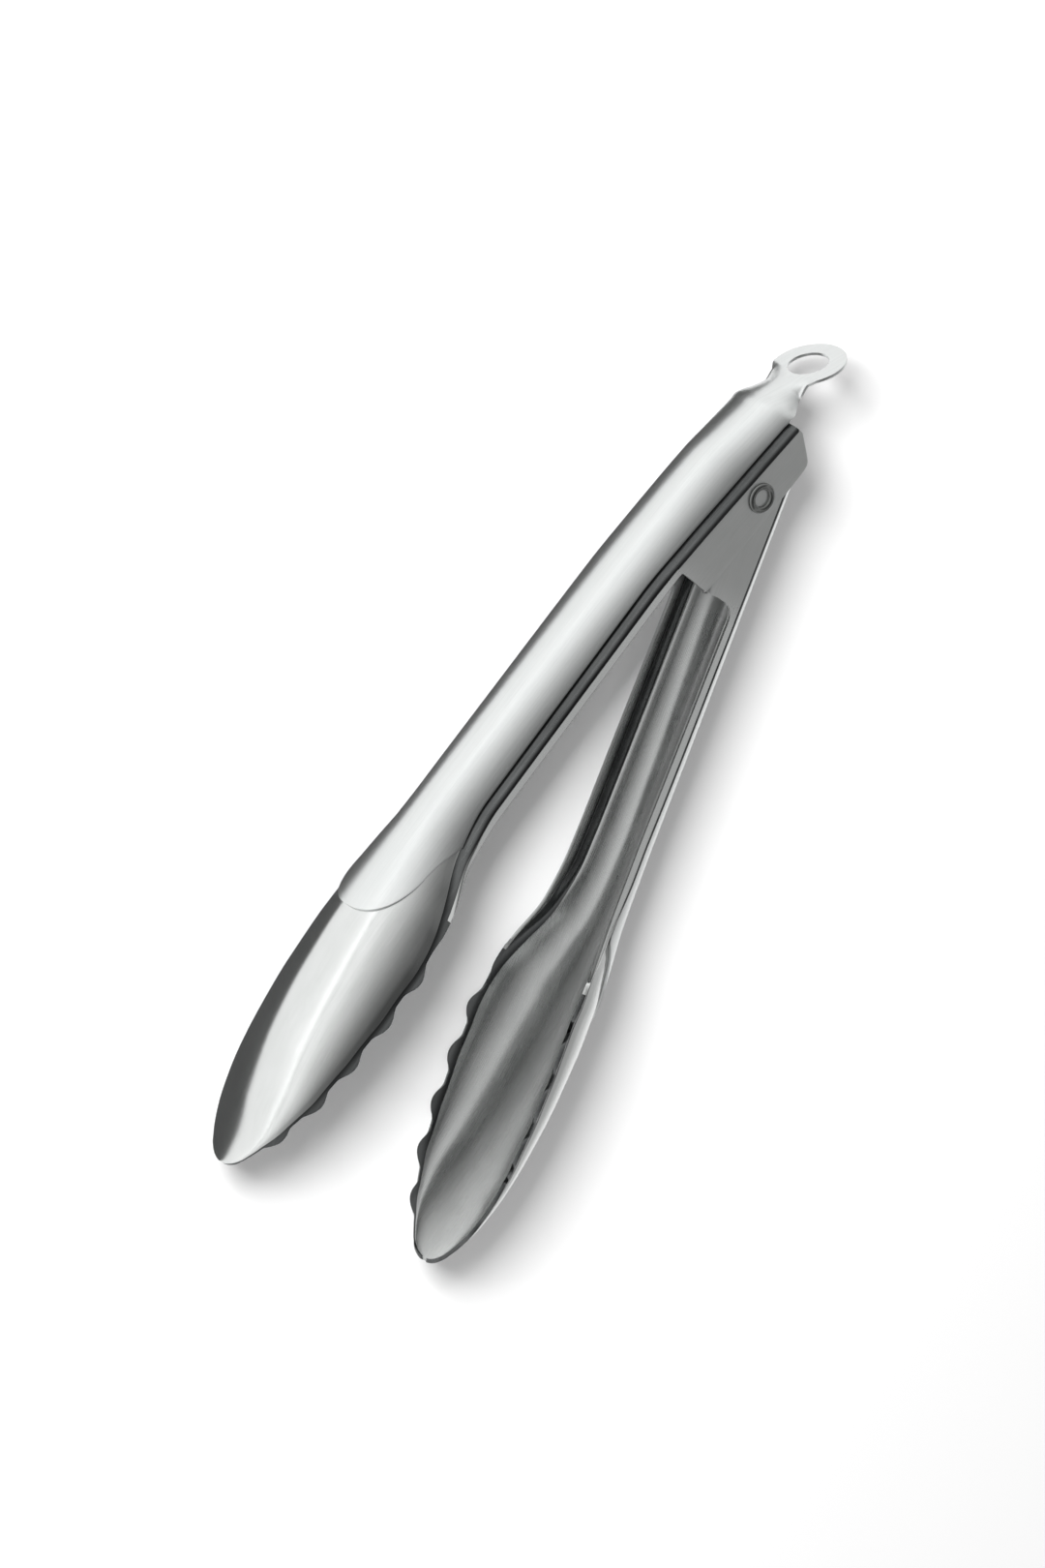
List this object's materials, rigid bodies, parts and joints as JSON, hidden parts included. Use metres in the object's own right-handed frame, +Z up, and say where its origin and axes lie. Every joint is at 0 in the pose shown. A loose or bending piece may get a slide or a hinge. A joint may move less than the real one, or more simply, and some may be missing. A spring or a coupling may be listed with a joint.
{
  "type": "spring loaded kitchen tongs",
  "caption": "Long stainless tongs with scalloped scoop heads, a hollow rivet pivot, an opening spring, a sliding lock pin and a hanging ring.",
  "frame": {"origin": "on the pivot axis, midway between the cheeks", "axes": "+X towards the tips along the line that halves the opening; +Z up along the pivot axis, with the tongs lying on their side; the ringed upper arm is on the -Y side"},
  "size_m": [0.2963, 0.1034, 0.0488],
  "materials": {
    "pressed_steel": "mirror polished outside, brushed on the inner edges",
    "satin_cover": "satin, with a fine grain along the handle",
    "rivet_steel": "bright",
    "spring_wire": "drawn wire",
    "lock_steel": "plain"
  },
  "bodies": {
    "upper": {"upper_arm": "pressed_steel", "upper_cover": "satin_cover", "pivot_rivet": "rivet_steel", "near_washer": "rivet_steel", "far_washer": "rivet_steel", "spring_sleeve": "rivet_steel", "torsion_spring": "spring_wire", "lock_bracket": "lock_steel"},
    "lower": {"lower_arm": "pressed_steel", "lower_cover": "satin_cover", "lock_hook": "lock_steel"},
    "lock": {"lock_pin": "lock_steel"}
  },
  "joints": [
    {"name": "arm_hinge", "type": "hinge", "parent": "upper", "child": "lower", "pos_m": [0, 0, 0], "axis": [0, 0, -1], "range_deg": [0, 20.1], "stiffness_Nm_per_rad": 0.35, "springref_deg": -68.75, "deforming": ["torsion_spring"]},
    {"name": "lock_slide", "type": "slide", "parent": "upper", "child": "lock", "axis": [-0.9844, 0.1757, 0], "range_m": [0, 0.005]}
  ]
}
